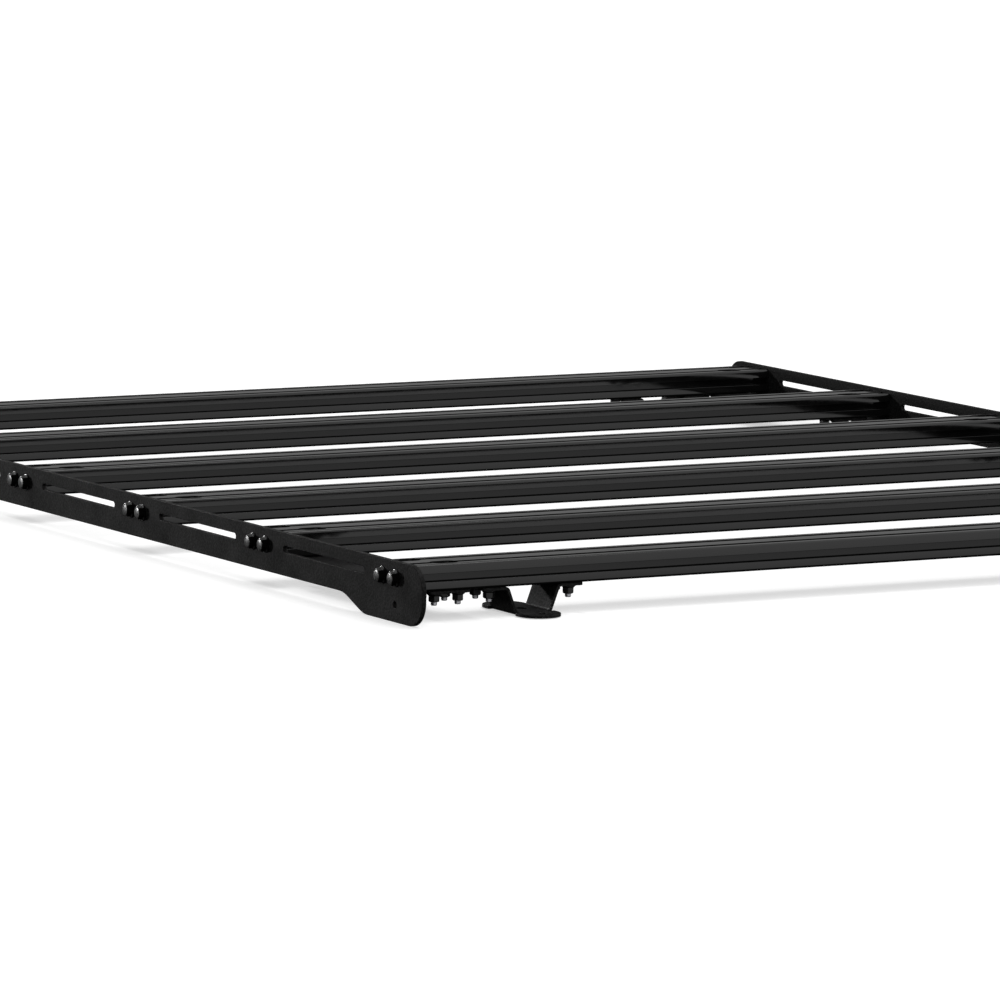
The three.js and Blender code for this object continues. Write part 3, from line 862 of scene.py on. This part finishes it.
def fold(u, v, t):
    """Takes a point of the flat sheet to its place in the bent foot, whose top is at z = 0."""
    side = math.copysign(1.0, u)
    run = abs(u)
    base_middle = SHEET / 2 - FOOT_HEIGHT
    if run <= FIRST_BEND or abs(v) > SHEET_WIDTH / 2 + RELIEF / 2:
        return u, v, base_middle + t
    centre_z = base_middle + BEND_MIDDLE
    if run <= FIRST_BEND + BEND_RUN:
        a = (run - FIRST_BEND) / BEND_MIDDLE
        reach = BEND_MIDDLE - t
        return side * (FIRST_BEND + reach * math.sin(a)), v, centre_z - reach * math.cos(a)
    sin_b, cos_b = math.sin(BEND_ANGLE), math.cos(BEND_ANGLE)
    along = min(run - FIRST_BEND - BEND_RUN, LEG_RUN)
    x = FIRST_BEND + BEND_MIDDLE * sin_b + along * cos_b
    z = centre_z - BEND_MIDDLE * cos_b + along * sin_b
    if run <= SECOND_BEND:
        return side * (x - t * sin_b), v, z + t * cos_b
    centre_x, centre_z = x + BEND_MIDDLE * sin_b, z - BEND_MIDDLE * cos_b
    a = min((run - SECOND_BEND) / BEND_MIDDLE, BEND_ANGLE)
    reach = BEND_MIDDLE + t
    turn = BEND_ANGLE - a
    x = centre_x - reach * math.sin(turn) + max(0.0, run - FLANGE_START)
    return side * x, v, centre_z + reach * math.cos(turn)


def foot_mesh():
    """Flat sheet with its holes, sliced across the four bends and folded into the hat shape."""
    edge, step = SHEET_WIDTH / 2, SHEET_WIDTH / 2 + RELIEF
    outline = rounded(mirrored([
        (FLANGE_RUN_END, edge, FLANGE_CORNER),
        (NECK_HALF, edge, RELIEF_CORNER),
        (NECK_HALF, step, RELIEF_CORNER),
        (BASE_HALF, step, BASE_CORNER),
        (BASE_HALF, BASE_END, BASE_ROUND),
    ]), 12)
    flange_hole = FLANGE_START + FOOT_STUD - FLANGE_X
    holes = [circle(0, 0, BASE_CENTRE_HOLE)]
    for side in (-1, 1):
        holes.append(circle(0, side * BASE_END_HOLE_AT, BASE_END_HOLE))
        for row in (-STUD_ROW, STUD_ROW):
            holes.append(circle(side * flange_hole, row, STUD_HOLE))
    bm = prism(outline, holes, SHEET, SHEET_EDGE)
    for start in (FIRST_BEND, SECOND_BEND):
        for k in range(BEND_SLICES + 1):
            for side in (-1, 1):
                plane = (side * (start + BEND_RUN * k / BEND_SLICES), 0, 0)
                parts = list(bm.verts) + list(bm.edges) + list(bm.faces)
                bmesh.ops.bisect_plane(
                    bm, geom=parts, dist=SAME_POINT, plane_co=plane, plane_no=X_AXIS)
    for v in bm.verts:
        v.co = fold(*v.co)
    bmesh.ops.recalc_face_normals(bm, faces=bm.faces)
    return to_mesh(bm, "foot")


def add_feet(nut, stud):
    mesh = foot_mesh()
    for end in ("front", "rear"):
        for _, label in SIDES:
            node = f"foot_{end}_{label}"
            x, y, _ = middle_of(node)
            _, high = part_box(node)
            place = Matrix.Translation((x, y, high.z))
            put(f"{node}_bent_sheet", mesh, BRACKET_COAT, place, [node])
            for count in range(1, 5):
                bolt = f"foot_t_bolt_{end}_{label}_{count}"
                x, y, _ = middle_of(bolt)
                turn = math.radians(13 * count + 31 * x + 7)
                add_fastener(bolt, nut, stud, x, y, turn, [bolt])


# ---------------------------------------------------------------- strap plates

STRAP_CORNER = 4 * MM


def strap_mesh():
    outline = rectangle(0, 0, SHEET_WIDTH, BAR_PITCH + SHEET_WIDTH, STRAP_CORNER, 8)
    holes = []
    for bar in (-BAR_PITCH / 2, BAR_PITCH / 2):
        for x in (-STUD_ROW, STUD_ROW):
            for row in (-STUD_ROW, STUD_ROW):
                holes.append(circle(x, bar + row, STUD_HOLE))
    return to_mesh(prism(outline, holes, SHEET, SHEET_EDGE), "strap_plate")


def add_straps(nut, stud):
    mesh = strap_mesh()
    level = BAR_BOTTOM - CLEARANCE - SHEET / 2
    for first_bar, end in ((0, "front"), (BAR_COUNT - 2, "rear")):
        for _, label in SIDES:
            node = f"strap_plate_{end}_{label}"
            x, y, _ = middle_of(node)
            place = Matrix.Translation((x, y, level))
            put(f"{node}_sheet", mesh, BRACKET_COAT, place, [node])
            count = 0
            for bar in (first_bar, first_bar + 1):
                for dx in (-STUD_ROW, STUD_ROW):
                    for row in (-STUD_ROW, STUD_ROW):
                        count += 1
                        name = f"strap_fastener_{end}_{label}_{count}"
                        turn = math.radians(29 * count + 17 * bar + 5)
                        add_fastener(name, nut, stud, x + dx, bar_y(bar) + row, turn)


# ---------------------------------------------------------------- stage, light, camera

FLOOR_SIZE = 120
# The floor's own light grows to full strength between two distances from the rack's middle
FLOOR_GLOW = 0.53
FLOOR_NEAR = 1.6
FLOOR_FAR = 6.0
DARK_GLOW = 0.03
FRONT_GLOW = 0.94
REAR_GLOW = 0.21


def add_stage():
    """A pale floor that glows almost white, so that shadows on it are faint."""
    bpy.ops.mesh.primitive_plane_add(size=FLOOR_SIZE, location=(0, 0, PLATE_BOTTOM))
    floor = bpy.context.object
    floor.name = "studio_floor"
    n = Nodes("pale_floor")
    soft = n.noise(6, detail=2)
    n.link(n.mix(n.remap(soft, 0, 1), grey(0.62), grey(0.64)), n.shader.inputs["Base Color"])
    n.shader.inputs["Roughness"].default_value = 0.9
    n.shader.inputs["Specular IOR Level"].default_value = 0.0
    n.shader.inputs["Emission Color"].default_value = (1, 1, 1, 1)
    reach = n.add("ShaderNodeVectorMath", operation="LENGTH")
    n.link(n.position, reach.inputs[0])
    glow = n.remap(reach.outputs["Value"], FLOOR_GLOW, 1.0, FLOOR_NEAR, FLOOR_FAR)
    n.link(glow, n.shader.inputs["Emission Strength"])
    floor.data.materials.append(n.material)
    floor.visible_diffuse = False
    floor.visible_glossy = False


def add_light(name, towards, distance, size, radiance):
    """Square light of the given radiance, in the given direction from the rack and facing it."""
    data = bpy.data.lights.new(name, "AREA")
    data.size = size
    data.energy = radiance * math.pi * size**2
    light = bpy.data.objects.new(name, data)
    bpy.context.scene.collection.objects.link(light)
    direction = Vector(towards).normalized()
    light.location = direction * distance
    light.rotation_euler = direction.to_track_quat("Z", "Y").to_euler()


def add_world():
    """Studio surround: pale in front and overhead, dark behind and below, and a faint glow low
    down behind the rack's right side."""
    world = bpy.data.worlds.new("studio")
    bpy.context.scene.world = world
    world.use_nodes = True
    nodes, links = world.node_tree.nodes, world.node_tree.links
    direction = nodes.new("ShaderNodeTexCoord").outputs["Generated"]

    def lobe(towards, start, end, low, high):
        """Goes from low to high as the cosine to a direction goes from start to end."""
        along = nodes.new("ShaderNodeVectorMath")
        along.operation = "DOT_PRODUCT"
        along.inputs[1].default_value = Vector(towards).normalized()
        links.new(direction, along.inputs[0])
        ramp = nodes.new("ShaderNodeMapRange")
        ramp.interpolation_type = "SMOOTHSTEP"
        links.new(along.outputs["Value"], ramp.inputs["Value"])
        for name, value in zip(("From Min", "From Max", "To Min", "To Max"), (start, end, low, high)):
            ramp.inputs[name].default_value = value
        return ramp.outputs["Result"]

    def combine(operation, one, two):
        node = nodes.new("ShaderNodeMath")
        node.operation = operation
        links.new(one, node.inputs[0])
        links.new(two, node.inputs[1])
        return node.outputs["Value"]

    front = lobe((0.35, -0.9, 0.25), -0.4, 0.45, DARK_GLOW, FRONT_GLOW)
    above = lobe((0, 0, 1), -0.4, -0.08, DARK_GLOW, 1)
    low_right = lobe((0.5, 0.86, 0.13), 0.7, 0.97, 0, REAR_GLOW)
    glow = combine("ADD", combine("MULTIPLY", front, above), low_right)
    background = nodes["Background"]
    background.inputs["Color"].default_value = (1, 1, 1, 1)
    links.new(glow, background.inputs["Strength"])


# Camera place in crossbar pitches, from the left plate's outer face, the first bar and its top
EYE = (-13.938, -24.7694, 3.894)
AZIMUTH, DOWNWARD, ROLL = math.radians(30.1737), math.radians(7.3287), math.radians(0.976)
LENS = 282.76
SENSOR = 36


def add_camera():
    data = bpy.data.cameras.new("camera")
    data.lens = LENS
    data.sensor_width = SENSOR
    data.clip_start = 0.1
    data.clip_end = 200
    camera = bpy.data.objects.new("camera", data)
    bpy.context.scene.collection.objects.link(camera)
    eye = Vector((plate_low.x, FIRST_BAR_Y, BAR_TOP)) + Vector(EYE) * BAR_PITCH
    forward = Vector((
        math.sin(AZIMUTH) * math.cos(DOWNWARD),
        math.cos(AZIMUTH) * math.cos(DOWNWARD),
        -math.sin(DOWNWARD),
    ))
    level = Vector((math.cos(AZIMUTH), -math.sin(AZIMUTH), 0))
    upright = level.cross(forward)
    right = level * math.cos(ROLL) + upright * math.sin(ROLL)
    up = upright * math.cos(ROLL) - level * math.sin(ROLL)
    camera.matrix_world = frame_matrix(right, up, -forward, eye)
    bpy.context.scene.camera = camera


nut_shape, stud_shape = nut_mesh(), t_bolt_mesh()
add_side_plates()
add_crossbars()
add_end_bolts()
add_feet(nut_shape, stud_shape)
add_straps(nut_shape, stud_shape)
add_stage()
add_world()
add_light("key_rear", towards=(-0.25, 0.88, 0.4), distance=4, size=0.3, radiance=230)
add_light("low_left", towards=(-0.7, 0.714, 0.02), distance=4, size=0.3, radiance=145)
add_light("overhead", towards=(0.1, -0.2, 0.95), distance=3, size=1.5, radiance=4.0)
add_camera()
bpy.context.scene.view_settings.view_transform = "Standard"
